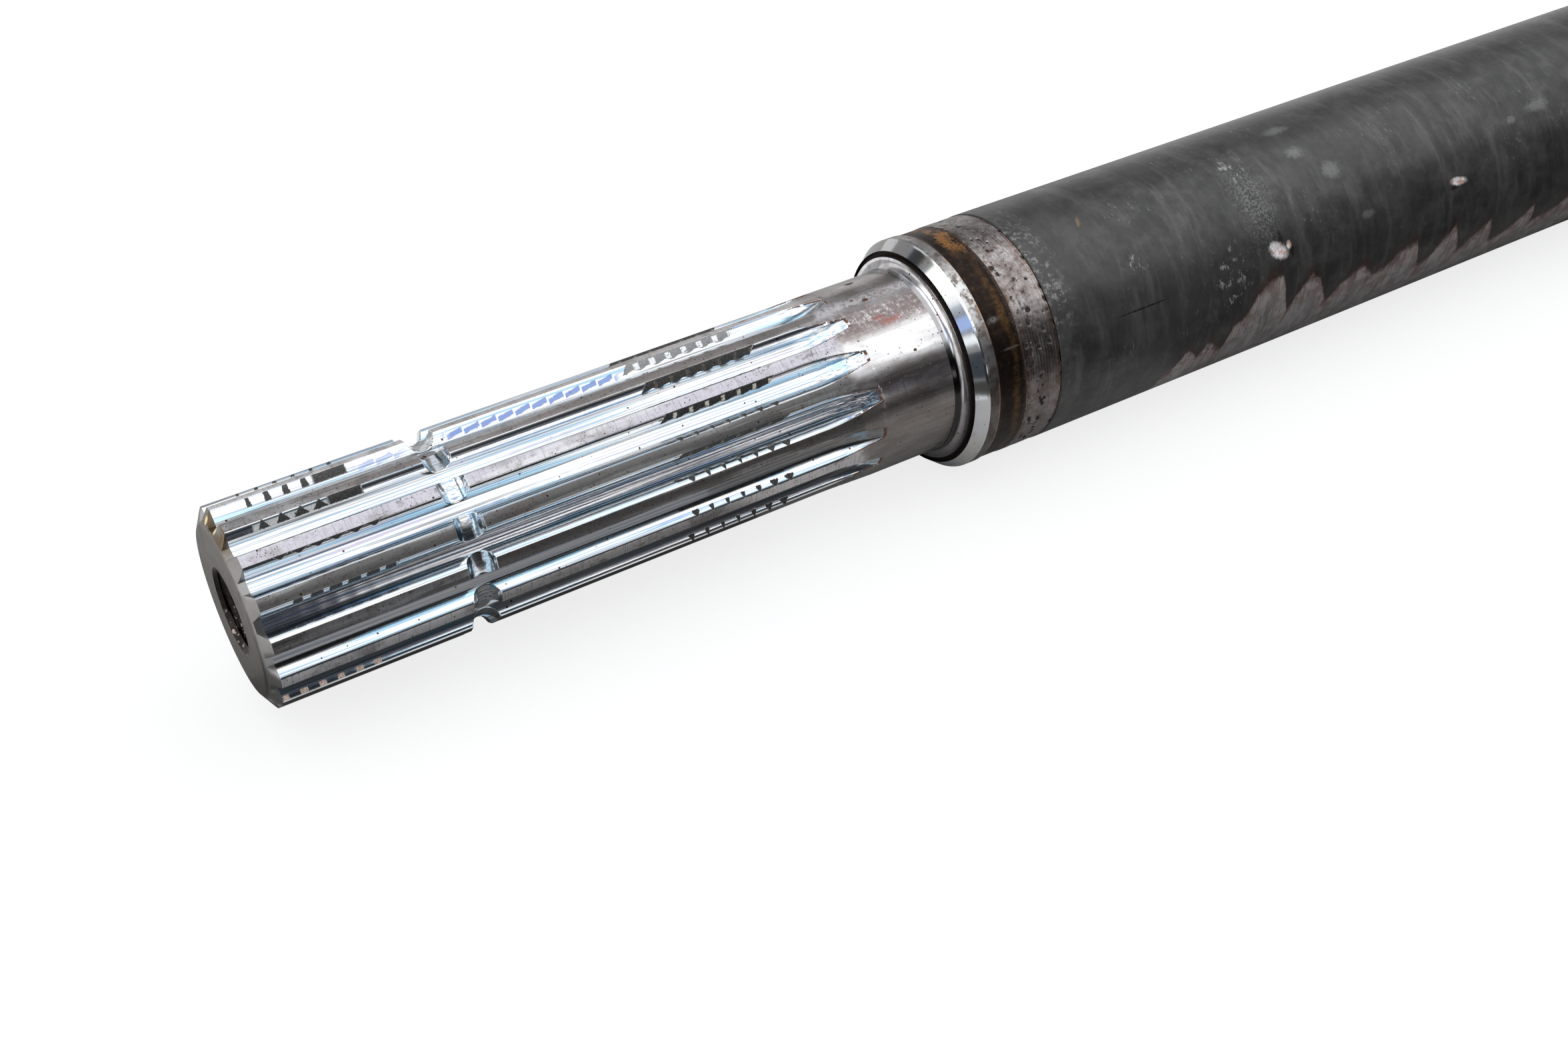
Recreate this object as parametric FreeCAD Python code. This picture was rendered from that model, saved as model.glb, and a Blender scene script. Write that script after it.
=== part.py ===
import FreeCAD, Part
import math
import os

# Jackshaft: a steel tube with a hobbed, splined stub welded into each end.
# All sizes are millimetres. The shaft lies along X with its middle at the origin, +Z up.
# Stub sizes along the shaft are counted from the stub's own end face.

# Whole shaft
SHAFT_LENGTH = 800.0

# Tube
TUBE_DIAMETER = 63.5
TUBE_WALL = 8.0

# Stub body
END_FACE_DIAMETER = 41.2
END_CHAMFER_ANGLE = 30.0
JOURNAL_DIAMETER = 50.0
JOURNAL_LENGTH = 20.4
JOURNAL_SETBACK = 0.3
FILLET_RADIUS = 2.6
FILLET_LAND = 0.2

# Shoulder between the journal and the weld
RECESS_WIDTH = 1.5
RECESS_DEPTH = 1.6
RIM_SETBACK = 0.6
RIM_CHAMFER_LENGTH = 3.1
TURNED_SKIM = 0.1
TURNED_BAND_LENGTH = 11.3
SPIGOT_LENGTH = 28.0
SPIGOT_CLEARANCE = 0.03

# Involute spline
SPLINE_TEETH = 15
SPLINE_MODULE = 3.0
PRESSURE_ANGLE = 30.0
PROFILE_SHIFT = 0.85
TIP_DIAMETER = 49.4
ROOT_DIAMETER = 43.0
FULL_DEPTH_LENGTH = 145.6
HOB_RADIUS = 45.0
SPLINE_PHASE = 8.65
FLANK_POINTS = 3
CUT_OVERRUN = 1.0

# Lock groove across the teeth
GROOVE_POSITION = 52.5
GROOVE_RADIUS = 3.5
GROOVE_DEPTH = 3.0
GROOVE_STRIPS = 4

# Tapped hole in each end, drilled to its tapping size
TAP_DRILL_DIAMETER = 17.5
TAP_MOUTH_DIAMETER = 21.6
TAP_DEPTH = 45.0
TAP_MOUTH_ANGLE = 45.0

# Weld between stub and tube
WELD_WIDTH = 11.6

# Sizes that follow from the ones above
journal_r = JOURNAL_DIAMETER / 2
tip_r = TIP_DIAMETER / 2
tube_r = TUBE_DIAMETER / 2
bore_r = tube_r - TUBE_WALL
turned_r = tube_r - TURNED_SKIM
root_r = ROOT_DIAMETER / 2
spigot_r = bore_r - SPIGOT_CLEARANCE

cut_depth = journal_r - root_r
runout_length = math.sqrt(2 * HOB_RADIUS * cut_depth - cut_depth ** 2)
journal_start = FULL_DEPTH_LENGTH + runout_length + JOURNAL_SETBACK
journal_end = journal_start + JOURNAL_LENGTH
shoulder_x = journal_end + FILLET_RADIUS
recess_r = journal_r + FILLET_RADIUS + FILLET_LAND
rim_r = recess_r + RECESS_WIDTH
rim_start = shoulder_x + RIM_SETBACK
rim_end = rim_start + RIM_CHAMFER_LENGTH
weld_start = rim_end + TURNED_BAND_LENGTH
weld_end = weld_start + WELD_WIDTH


def point(x, r):
    return FreeCAD.Vector(x, 0, r)


def revolve(edges):
    """Solid of revolution about the shaft's axis from a closed outline in the XZ plane."""
    face = Part.Face(Part.Wire(edges))
    return face.revolve(point(0, 0), FreeCAD.Vector(1, 0, 0), 360)


def lines(points):
    """Straight edges through the points in turn."""
    return [Part.makeLine(a, b) for a, b in zip(points, points[1:])]


def curve(points):
    """Smooth edge through the points in turn."""
    through = Part.BSplineCurve()
    through.interpolate(points)
    return through.toShape()


def on_circle(centre, radius, angle):
    """Point at an angle in degrees, from +X towards +Z, on a circle in the XZ plane."""
    a = math.radians(angle)
    return centre + FreeCAD.Vector(radius * math.cos(a), 0, radius * math.sin(a))


def groove_points():
    """Lock groove section: its round bottom as a few straight strips from tip to tip."""
    centre = point(GROOVE_POSITION, tip_r - GROOVE_DEPTH + GROOVE_RADIUS)
    reach = math.degrees(math.acos(1 - GROOVE_DEPTH / GROOVE_RADIUS))
    step = 2 * reach / GROOVE_STRIPS
    angles = [270 - reach + i * step for i in range(GROOVE_STRIPS + 1)]
    return [on_circle(centre, GROOVE_RADIUS, angle) for angle in angles]


def tapped_hole_points():
    """Half section of the tapped hole, from its bottom out to the end face."""
    drill_r = TAP_DRILL_DIAMETER / 2
    mouth_r = TAP_MOUTH_DIAMETER / 2
    mouth_depth = (mouth_r - drill_r) / math.tan(math.radians(TAP_MOUTH_ANGLE))
    return [
        point(TAP_DEPTH, 0),
        point(TAP_DEPTH, drill_r),
        point(mouth_depth, drill_r),
        point(0, mouth_r),
    ]


def shoulder_points():
    """Half section from the fillet's end to the spigot: ring recess, chamfered rim, turned band."""
    return [
        point(shoulder_x, recess_r),
        point(shoulder_x + RECESS_DEPTH, recess_r),
        point(shoulder_x + RECESS_DEPTH, rim_r),
        point(rim_start, rim_r),
        point(rim_end, turned_r),
        point(weld_start, turned_r),
        point(weld_start, spigot_r),
        point(weld_start + SPIGOT_LENGTH, spigot_r),
        point(weld_start + SPIGOT_LENGTH, 0),
    ]


def stub_blank():
    """The stub as it comes off the lathe, before its teeth are cut."""
    face_r = END_FACE_DIAMETER / 2
    chamfer = (tip_r - face_r) * math.tan(math.radians(END_CHAMFER_ANGLE))
    fillet_centre = point(journal_end, journal_r + FILLET_RADIUS)
    fillet_middle = on_circle(fillet_centre, FILLET_RADIUS, 315)
    fillet_start = point(journal_end, journal_r)
    fillet_end = point(shoulder_x, journal_r + FILLET_RADIUS)
    teeth = [point(0, face_r), point(chamfer, tip_r)] + groove_points()
    journal = [point(journal_start, tip_r), point(journal_start, journal_r), fillet_start]
    fillet = curve([fillet_start, fillet_middle, fillet_end])
    front = lines(tapped_hole_points() + teeth + journal)
    back = lines([fillet_end] + shoulder_points() + tapped_hole_points()[:1])
    return revolve(front + [fillet] + back)


def involute(angle):
    return math.tan(angle) - angle


def half_space_angle(r):
    """Half the angle that a tooth space spans at radius r, in radians."""
    pitch_r = SPLINE_MODULE * SPLINE_TEETH / 2
    pressure = math.radians(PRESSURE_ANGLE)
    tooth = SPLINE_MODULE * math.pi / 2 + 2 * PROFILE_SHIFT * math.tan(pressure)
    at_r = math.acos(pitch_r * math.cos(pressure) / r)
    half_tooth = tooth / (2 * pitch_r) + involute(pressure) - involute(at_r)
    return math.pi / SPLINE_TEETH - half_tooth


def space_section():
    """Closed face of one tooth space, centred on +Z, at the end of the full-depth teeth."""
    outer_r = tip_r + CUT_OVERRUN
    step = (outer_r - root_r) / (FLANK_POINTS - 1)
    radii = [root_r + i * step for i in range(FLANK_POINTS)]

    def place(r, side):
        a = side * half_space_angle(r)
        return FreeCAD.Vector(FULL_DEPTH_LENGTH, r * math.sin(a), r * math.cos(a))

    floor = Part.makeLine(place(root_r, -1), place(root_r, 1))
    top = Part.makeLine(place(outer_r, 1), place(outer_r, -1))
    flanks = [curve([place(r, side) for r in radii]) for side in (1, -1)]
    return Part.Face(Part.Wire([floor, flanks[0], top, flanks[1]]))


def space_cutters():
    """What a hob removes for one tooth space: a straight cut, then its own radius lifting out."""
    section = space_section()
    straight = section.extrude(FreeCAD.Vector(-FULL_DEPTH_LENGTH - CUT_OVERRUN, 0, 0))
    hob_centre = point(FULL_DEPTH_LENGTH, root_r + HOB_RADIUS)
    lift = math.degrees(math.acos(1 - (cut_depth + CUT_OVERRUN) / HOB_RADIUS))
    runout = section.revolve(hob_centre, FreeCAD.Vector(0, -1, 0), lift)
    return [straight, runout]


def splined_stub():
    """One stub with its end face at the origin and its spigot towards +X."""
    stub = stub_blank()
    axis = FreeCAD.Vector(1, 0, 0)
    cutters = []
    for cutter in space_cutters():
        for tooth in range(SPLINE_TEETH):
            copy = cutter.copy()
            copy.rotate(point(0, 0), axis, SPLINE_PHASE - 90 + tooth * 360 / SPLINE_TEETH)
            cutters.append(copy)
    return stub.cut(cutters).Solids[0]


def weld_ring():
    """Weld that fills the gap between a stub's shoulder and the tube, turned down flush."""
    return revolve(lines([
        point(weld_start, turned_r),
        point(weld_end, turned_r),
        point(weld_end, spigot_r),
        point(weld_start, spigot_r),
        point(weld_start, turned_r),
    ]))


def tube():
    """Tube between the welds, centred on the origin."""
    half = SHAFT_LENGTH / 2 - weld_end
    return revolve(lines([
        point(-half, tube_r),
        point(half, tube_r),
        point(half, bore_r),
        point(-half, bore_r),
        point(-half, tube_r),
    ]))


def at_near_end(shape):
    return shape.translated(FreeCAD.Vector(-SHAFT_LENGTH / 2, 0, 0))


def at_far_end(shape):
    turned = shape.copy()
    turned.rotate(point(0, 0), FreeCAD.Vector(0, 0, 1), 180)
    return turned.translated(FreeCAD.Vector(SHAFT_LENGTH / 2, 0, 0))


def main():
    stub = splined_stub()
    weld = weld_ring()
    parts = {
        "near_splined_stub": at_near_end(stub),
        "far_splined_stub": at_far_end(stub),
        "near_weld": at_near_end(weld),
        "far_weld": at_far_end(weld),
        "centre_tube": tube(),
    }
    os.makedirs("parts", exist_ok=True)
    for name, shape in parts.items():
        shape.exportStep("parts/" + name + ".step")
        print(name, len(shape.Solids), shape.isValid(), round(shape.Volume / 1000, 2), "cm3")
    print("run-out", round(runout_length, 2), "journal", round(journal_start, 2), round(journal_end, 2))
    print("rim", round(rim_start, 2), round(rim_end, 2), "weld", round(weld_start, 2), round(weld_end, 2))


main()
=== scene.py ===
import math

import bpy
import numpy as np
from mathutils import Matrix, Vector


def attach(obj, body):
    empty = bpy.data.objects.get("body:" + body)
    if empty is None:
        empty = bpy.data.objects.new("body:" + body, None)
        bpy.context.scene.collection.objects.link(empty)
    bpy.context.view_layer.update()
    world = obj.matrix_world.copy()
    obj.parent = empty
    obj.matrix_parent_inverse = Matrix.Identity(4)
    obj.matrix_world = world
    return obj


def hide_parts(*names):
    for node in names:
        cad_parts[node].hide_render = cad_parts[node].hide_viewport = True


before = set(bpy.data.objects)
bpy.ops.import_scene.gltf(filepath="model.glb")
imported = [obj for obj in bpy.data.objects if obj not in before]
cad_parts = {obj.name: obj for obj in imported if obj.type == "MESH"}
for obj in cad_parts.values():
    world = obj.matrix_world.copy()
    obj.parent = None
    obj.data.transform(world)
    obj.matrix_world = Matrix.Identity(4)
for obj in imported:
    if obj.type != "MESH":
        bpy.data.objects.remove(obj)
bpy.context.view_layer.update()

# Looks of the jackshaft: finely modelled skins over the CAD pieces, their materials, the studio.
# Sizes are millimetres, as in the part's source, and become metres when a mesh is made.
# Along the shaft, s counts from a stub's own end face. Round it, phi is 90 degrees at the top
# and 180 degrees at the camera's side of the near end.

MM = 0.001
SHAFT_LENGTH = 800.0

# Stub outline
FACE_R = 20.6
MOUTH_R = 10.8
CHAMFER_END = 2.37
TIP_R = 24.7
GROOVE_S = 52.5
GROOVE_R = 3.5
GROOVE_DEPTH = 3.0
GROOVE_LIP = 0.3
JOURNAL_R = 25.0
JOURNAL_START = 163.3
JOURNAL_END = 183.7
SEAT_R = 24.9
RAMP_START = 152.0
FILLET_R = 2.6
RECESS_R = 27.8
RIM_R = 29.3
RIM_START = 186.9
RIM_END = 190.0
LAND_END = 193.1
TURNED_R = 31.65
BAND_R = 31.4
WELD_START = 201.3
WELD_END = 212.9
TUBE_R = 31.75

# Spline
TEETH = 15
MODULE = 3.0
PRESSURE_ANGLE = 30.0
PROFILE_SHIFT = 0.85
ROOT_R = 21.5
FULL_DEPTH_END = 145.6
HOB_R = 45.0
HOB_FEED = 4.42
SCALLOP_WORN = 0.4
SPLINE_PHASE = 8.65
EDGE_BEVEL = 0.13
FLANK_LEAN = 0.044
FLANK_STEPS = 4
ROWS_PER_FEED = 6

# Tapped hole
TAP_MINOR_R = 8.75
TAP_MAJOR_R = 10.0
TAP_PITCH = 2.5
TAP_DEPTH = 45.0

# Divisions of the skins, and the pits in a weld
THREAD_COLUMNS, THREAD_ROWS, ROWS_PER_TURN = 96, 135, 8
WELD_COLUMNS, WELD_ROWS = 420, 53
TUBE_COLUMNS = 288
WELD_PITS, SEAM_PITS = 150, 26

TOOTH_ANGLE = 360.0 / TEETH
SHARP_ANGLE = 28.0


# Meshes


def even_angles(columns):
    return np.arange(columns) * 360.0 / columns


def ring_points(s, radii, angles):
    """Points of one ring round the shaft, in millimetres."""
    a = np.radians(angles)
    return np.stack([np.full(len(a), s), radii * np.cos(a), radii * np.sin(a)], axis=1)


def new_object(name, data):
    made = bpy.data.objects.new(name, data)
    bpy.context.scene.collection.objects.link(made)
    return made


def grid_object(name, rings, bands=None, inward=False):
    """Object from closed rings of points; bands gives the material between each two rings."""
    points = np.array(rings)
    rows, columns = points.shape[:2]
    index = np.arange(rows * columns).reshape(rows, columns)
    near, far = index[:-1], index[1:]
    quads = np.stack([near, np.roll(near, -1, 1), np.roll(far, -1, 1), far], axis=-1).reshape(-1, 4)
    if inward:
        quads = quads[:, ::-1]
    mesh = bpy.data.meshes.new(name)
    mesh.vertices.add(rows * columns)
    mesh.vertices.foreach_set("co", (points * MM).astype(np.float32).ravel())
    mesh.loops.add(quads.size)
    mesh.loops.foreach_set("vertex_index", quads.astype(np.int32).ravel())
    mesh.polygons.add(len(quads))
    mesh.polygons.foreach_set("loop_start", np.arange(0, quads.size, 4, dtype=np.int32))
    if bands is not None:
        mesh.polygons.foreach_set("material_index", np.repeat(np.array(bands, np.int32), columns))
    mesh.update(calc_edges=True)
    mesh.validate()
    mesh.shade_smooth()
    mesh.set_sharp_from_angle(angle=math.radians(SHARP_ANGLE))
    return new_object(name, mesh)


def involute(angle):
    return math.tan(angle) - angle


def half_space_angle(r):
    """Half the angle that a tooth space spans at radius r, in radians."""
    pitch_r = MODULE * TEETH / 2
    pressure = math.radians(PRESSURE_ANGLE)
    tooth = MODULE * math.pi / 2 + 2 * PROFILE_SHIFT * math.tan(pressure)
    at_r = math.acos(pitch_r * math.cos(pressure) / r)
    half_tooth = tooth / (2 * pitch_r) + involute(pressure) - involute(at_r)
    return math.pi / TEETH - half_tooth


def profile_point(r, lift):
    """Sideways and outward place of a flank at cutter radius r, with the hob lifted."""
    a = half_space_angle(r)
    return r * math.sin(a) + FLANK_LEAN * (TIP_R - r), r * math.cos(a) + lift


def flank_top(outer_r, lift):
    """Cutter radius at which a flank meets the stub's outer surface."""
    low, high = ROOT_R, TIP_R + 2
    for _ in range(30):
        middle = (low + high) / 2
        if math.hypot(*profile_point(middle, lift)) < outer_r:
            low = middle
        else:
            high = middle
    return (low + high) / 2


def half_space_columns(outer_r, lift):
    """Right half of a space from floor to bevel, as angles in degrees and radii."""
    t0, h0 = profile_point(ROOT_R, lift)
    corner_r = math.hypot(t0, h0)
    floor_t = t0 / 3
    if corner_r < outer_r - 1e-6:
        top = flank_top(outer_r, lift)
        bevel = min(EDGE_BEVEL, 0.25 * (top - ROOT_R))
        steps = [ROOT_R + (top - bevel - ROOT_R) * i / FLANK_STEPS for i in range(FLANK_STEPS + 1)]
        flank = [profile_point(r, lift) for r in steps]
        edge = math.atan2(*profile_point(top, lift)) + bevel / outer_r
        places = [(floor_t, min(h0, math.sqrt(outer_r**2 - floor_t**2)))] + flank
        angles = [math.degrees(math.atan2(t, h)) for t, h in places] + [math.degrees(edge)]
        radii = [math.hypot(t, h) for t, h in places] + [outer_r]
        return angles, radii
    spread = min(1.0, (corner_r - outer_r) / 0.5)
    corner = math.degrees(math.atan2(t0, h0))
    width = 5.0 * spread
    angles = [corner / 3] + [corner + width * i / (FLANK_STEPS + 1) for i in range(FLANK_STEPS + 2)]
    return angles, [outer_r] * len(angles)


def toothed_ring(s, outer_r, lift):
    """One ring of the stub, with every tooth space and land."""
    half, half_r = half_space_columns(outer_r, lift)
    land = TOOTH_ANGLE - 2 * half[-1]
    angles = [-a for a in reversed(half)] + half + [half[-1] + land / 3, half[-1] + 2 * land / 3]
    radii = list(reversed(half_r)) + half_r + [outer_r, outer_r]
    every_angle = [SPLINE_PHASE + TOOTH_ANGLE * k + a for k in range(TEETH) for a in angles]
    return ring_points(s, np.array(radii * TEETH), np.array(every_angle))


def hob_lift(s):
    """How far the hob stands above the full-depth floor: feed scallops, then the run-out."""
    if s >= FULL_DEPTH_END:
        return HOB_R - math.sqrt(max(HOB_R**2 - (s - FULL_DEPTH_END) ** 2, 0.0))
    back = (FULL_DEPTH_END - s) / HOB_FEED
    from_pass = (back - round(back)) * HOB_FEED
    return SCALLOP_WORN * from_pass**2 / (2 * HOB_R)


def arc_points(centre_s, centre_r, radius, start, end, steps):
    """Points along an arc, by angles in degrees from the shaft's direction."""
    turns = [math.radians(start + (end - start) * i / steps) for i in range(steps + 1)]
    return [(centre_s + radius * math.cos(a), centre_r + radius * math.sin(a)) for a in turns]


def groove_outline():
    """Lock groove with its small lips."""
    centre_r = TIP_R - GROOVE_DEPTH + GROOVE_R
    lip_r = TIP_R - GROOVE_LIP
    rise = centre_r - lip_r
    reach = math.sqrt((GROOVE_R + GROOVE_LIP) ** 2 - rise**2)
    tilt = math.degrees(math.atan2(rise, reach))
    near = arc_points(GROOVE_S - reach, lip_r, GROOVE_LIP, 90, tilt, 4)
    bottom = arc_points(GROOVE_S, centre_r, GROOVE_R, 180 + tilt, 360 - tilt, 18)
    far = arc_points(GROOVE_S + reach, lip_r, GROOVE_LIP, 180 - tilt, 90, 4)
    return near + bottom[1:-1] + far


def stub_outline():
    """The stub's outline from mouth to weld, as rows of (band, next point, steps to it)."""
    groove = groove_outline()
    fillet = arc_points(JOURNAL_END, SEAT_R + FILLET_R, FILLET_R, 270, 360, 12)
    feed_row = HOB_FEED / ROWS_PER_FEED
    before = round((groove[0][0] - CHAMFER_END) / feed_row)
    after = round((FULL_DEPTH_END - groove[-1][0]) / feed_row)
    shoulder, step_end = JOURNAL_END + FILLET_R, RIM_START + 1.0
    return [
        ("end", (0.0, FACE_R - 0.12), 7),
        ("end", (0.06, FACE_R + 0.04), 1),
        ("end", (CHAMFER_END, TIP_R), 8),
        ("teeth", groove[0], before),
        *(("teeth", point, 1) for point in groove[1:]),
        ("teeth", (FULL_DEPTH_END, TIP_R), after),
        ("teeth", (RAMP_START, TIP_R), 12),
        ("teeth", (JOURNAL_START, SEAT_R), 28),
        ("journal", (JOURNAL_END, SEAT_R), 8),
        *(("fillet", point, 1) for point in fillet[1:]),
        ("fillet", (shoulder, RECESS_R), 1),
        ("recess", (shoulder + 0.12, RECESS_R + 0.1), 1),
        ("recess", (step_end, RECESS_R + 0.25), 3),
        ("recess", (step_end, RIM_R - 0.1), 3),
        ("recess", (RIM_START, RIM_R), 3),
        ("rim", (RIM_END, TURNED_R), 5),
        ("land", (RIM_END + 0.15, TURNED_R + 0.03), 1),
        ("land", (LAND_END, TURNED_R + 0.03), 4),
        ("band", (LAND_END + 0.12, TURNED_R - 0.05), 1),
        ("band", (LAND_END + 0.5, BAND_R), 2),
        ("band", (WELD_START, BAND_R + 0.02), 10),
        ("band", (WELD_START + 0.1, BAND_R - 0.3), 1),
    ]


STUB_BANDS = ["end", "teeth", "journal", "fillet", "recess", "rim", "land", "band"]


def stub_skin(name):
    """Skin of one stub, in the stub's own coordinates."""
    s, r = 0.0, MOUTH_R
    rings, bands = [toothed_ring(s, r, hob_lift(s))], []
    for band, (end_s, end_r), steps in stub_outline():
        for i in range(1, steps + 1):
            place = s + (end_s - s) * i / steps
            rings.append(toothed_ring(place, r + (end_r - r) * i / steps, hob_lift(place)))
            bands.append(STUB_BANDS.index(band))
        s, r = end_s, end_r
    return grid_object(name, rings, bands)


def thread_liner(name):
    """Tapped hole: countersunk mouth, coarse thread and flat bottom."""
    angles = even_angles(THREAD_COLUMNS)
    rings = []
    for row in range(THREAD_ROWS):
        s = row * TAP_PITCH / ROWS_PER_TURN
        phase = (s / TAP_PITCH + angles / 360.0) % 1.0
        wave = 1 - np.abs(2 * phase - 1)
        depth = np.clip(wave * 1.35 - 0.2, 0, 1)
        wall = TAP_MINOR_R + (TAP_MAJOR_R - TAP_MINOR_R) * depth
        rings.append(ring_points(s, np.maximum(wall, MOUTH_R - s), angles))
    for r in (TAP_MINOR_R, 5.0, 0.02):
        rings.append(ring_points(TAP_DEPTH, np.full_like(angles, r), angles))
    return grid_object(name, rings, inward=True)


def pit_depths(s, phi, radius, pits):
    """Depth in millimetres of all the pits at each point of a ring."""
    depth = np.zeros_like(phi)
    for pit_s, pit_phi, size, deep in pits:
        across = ((phi - pit_phi + 180) % 360 - 180) * math.pi / 180 * radius
        away = np.hypot(s - pit_s, across) / size
        depth = np.maximum(depth, deep * np.clip(1 - away**2, 0, 1) ** 0.6)
    return depth


def weld_bead(name, seed):
    """Weld turned down flush, with its open pits and a low seam at both sides."""
    rng = np.random.default_rng(seed)
    pits = []
    for _ in range(WELD_PITS):
        near_edge = rng.random() < 0.7
        place = WELD_START + (rng.uniform(1.2, 6.0) if near_edge else rng.uniform(5.0, 11.0))
        pits.append((place, rng.uniform(0, 360), rng.uniform(0.25, 0.9), rng.uniform(0.1, 0.4)))
    for _ in range(SEAM_PITS):
        pits.append((WELD_END - rng.uniform(0.0, 0.5), rng.uniform(0, 360), rng.uniform(0.3, 0.8), 0.35))
    angles = even_angles(WELD_COLUMNS)
    rings = []
    for row in range(WELD_ROWS):
        s = WELD_START + (WELD_END - WELD_START) * row / (WELD_ROWS - 1)
        edge = min(s - WELD_START, WELD_END - s)
        level = BAND_R + 0.16 - 0.3 * math.exp(-((edge / 0.25) ** 2))
        level += 0.02 * math.sin(s * 2 * math.pi / 0.9)
        wander = 0.02 * np.sin(np.radians(angles) * 5 + s) + 0.015 * np.sin(np.radians(angles) * 13 - s * 2)
        depth = pit_depths(s, angles, BAND_R, pits)
        rings.append(ring_points(s, level + wander - depth, angles))
    return grid_object(name, rings)


# Nicks in the tube: place along and round the shaft, size and depth.
NICKS = [
    (288.6, 152, 1.6, 0.35), (290.2, 153.5, 0.9, 0.2),
    (357.2, 153, 1.3, 0.3), (355.6, 151.5, 0.7, 0.18), (243, 143, 0.7, 0.1),
]
# Rings of the tube's near half, finer round the nicks, as (next place, steps to it).
TUBE_RUNS = [(230, 11), (284, 19), (294, 25), (353, 23), (361, 21), (400, 13)]


def tube_skin(name):
    """Tube with its small nicks, in the shaft's coordinates."""
    angles = even_angles(TUBE_COLUMNS)
    places = [WELD_END, WELD_END + 0.35]
    for end, steps in TUBE_RUNS:
        places += list(np.linspace(places[-1], end, steps + 1))[1:]
    places += [SHAFT_LENGTH - s for s in reversed(places[:-1])]
    rings = []
    for s in places:
        end = min(s - WELD_END, SHAFT_LENGTH - WELD_END - s)
        level = TUBE_R - 0.03 - (0.35 if end < 0.01 else 0.0)
        wander = 0.02 * np.sin(np.radians(angles) * 3 + s * 0.03)
        depth = pit_depths(s, angles, TUBE_R, NICKS)
        rings.append(ring_points(s - SHAFT_LENGTH / 2, level + wander - depth, angles))
    return grid_object(name, rings)


# Materials


def operators(operation):
    """Two methods: field with other, and other with field."""
    return (
        lambda self, other: self.nodes.math(operation, self, other),
        lambda self, other: self.nodes.math(operation, other, self),
    )


class Field:
    """A value that varies over a surface, or a plain one, used in formulas like a number."""

    __add__, __radd__ = operators("ADD")
    __sub__, __rsub__ = operators("SUBTRACT")
    __mul__, __rmul__ = operators("MULTIPLY")

    def __init__(self, nodes, socket):
        self.nodes, self.socket = nodes, socket

    def __abs__(self):
        return self.nodes.math("ABSOLUTE", self)

    def step(self, start, end):
        """0 below start, 1 above end, smooth between; start above end turns it round."""
        (low, high), falls = sorted((start, end)), float(start > end)
        inputs = {"Value": self, "From Min": low, "From Max": high, "To Min": falls, "To Max": 1 - falls}
        return self.nodes.field("ShaderNodeMapRange", inputs, interpolation_type="SMOOTHSTEP")

    def window(self, start, end, soft):
        """1 between start and end, fading to 0 over soft at both sides."""
        return self.step(start - soft, start + soft) * self.step(end + soft, end - soft)

    def scale(self, low, high):
        """This 0 to 1 value moved to the range low to high."""
        return self.nodes.math("MULTIPLY_ADD", self, high - low, low)

    def mix(self, a, b):
        """Colour a where this is 0, b where it is 1."""
        return self.nodes.field("ShaderNodeMix", {0: self, 6: a, 7: b}, 2, data_type="RGBA")

    def blend(self, a, b):
        """Number a where this is 0, b where it is 1."""
        return self.nodes.field("ShaderNodeMix", {0: self, 2: a, 3: b}, data_type="FLOAT")

    def coated(self, *layers):
        """This colour with layers over it in turn, each as (share, colour)."""
        colour = self
        for share, over in layers:
            colour = share.mix(colour, over)
        return colour

    def ramp(self, *stops, sharp=False):
        """Colours along this value, each stop as (value, colour)."""
        made = self.nodes.node("ShaderNodeValToRGB", {0: self})
        bar = made.color_ramp
        bar.interpolation = "CONSTANT" if sharp else "LINEAR"
        while len(bar.elements) < len(stops):
            bar.elements.new(0.5)
        for element, (at, colour) in zip(bar.elements, stops):
            element.position = at
            element.color = colour + (1.0,)
        return Field(self.nodes, made.outputs[0])

    def pick(self, values):
        """The one of five numbers or colours for this place in a run of five."""
        colours = [value if isinstance(value, tuple) else (value,) * 3 for value in values]
        return self.ramp(*((max(0.2 * i - 0.1, 0), colour) for i, colour in enumerate(colours)), sharp=True)


class Nodes:
    """One material's node tree."""

    def __init__(self, name):
        self.material = bpy.data.materials.new(name)
        self.material.use_nodes = True
        self.tree = self.material.node_tree
        self.tree.nodes.clear()
        self.output = self.node("ShaderNodeOutputMaterial")

    def node(self, kind, inputs=(), **settings):
        """New node; inputs are named or numbered."""
        made = self.tree.nodes.new(kind)
        for key, value in settings.items():
            setattr(made, key, value)
        return self.fill(made, dict(inputs))

    def fill(self, node, inputs):
        for key, value in inputs.items():
            self.feed(value, node.inputs[key])
        return node

    def field(self, kind, inputs, output=0, **settings):
        return Field(self, self.node(kind, inputs, **settings).outputs[output])

    def feed(self, value, socket):
        """Links a field or output, or sets a number or colour."""
        if isinstance(value, Field):
            value = value.socket
        if isinstance(value, bpy.types.NodeSocket):
            self.tree.links.new(value, socket)
        elif isinstance(value, tuple):
            socket.default_value = value + (1.0,)
        else:
            socket.default_value = value

    def math(self, operation, *values):
        return self.field("ShaderNodeMath", dict(enumerate(values)), operation=operation)

    def show(self, shader):
        """Makes a shader node the material's surface."""
        self.feed(shader.outputs[0], self.output.inputs["Surface"])
        return self.material


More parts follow.
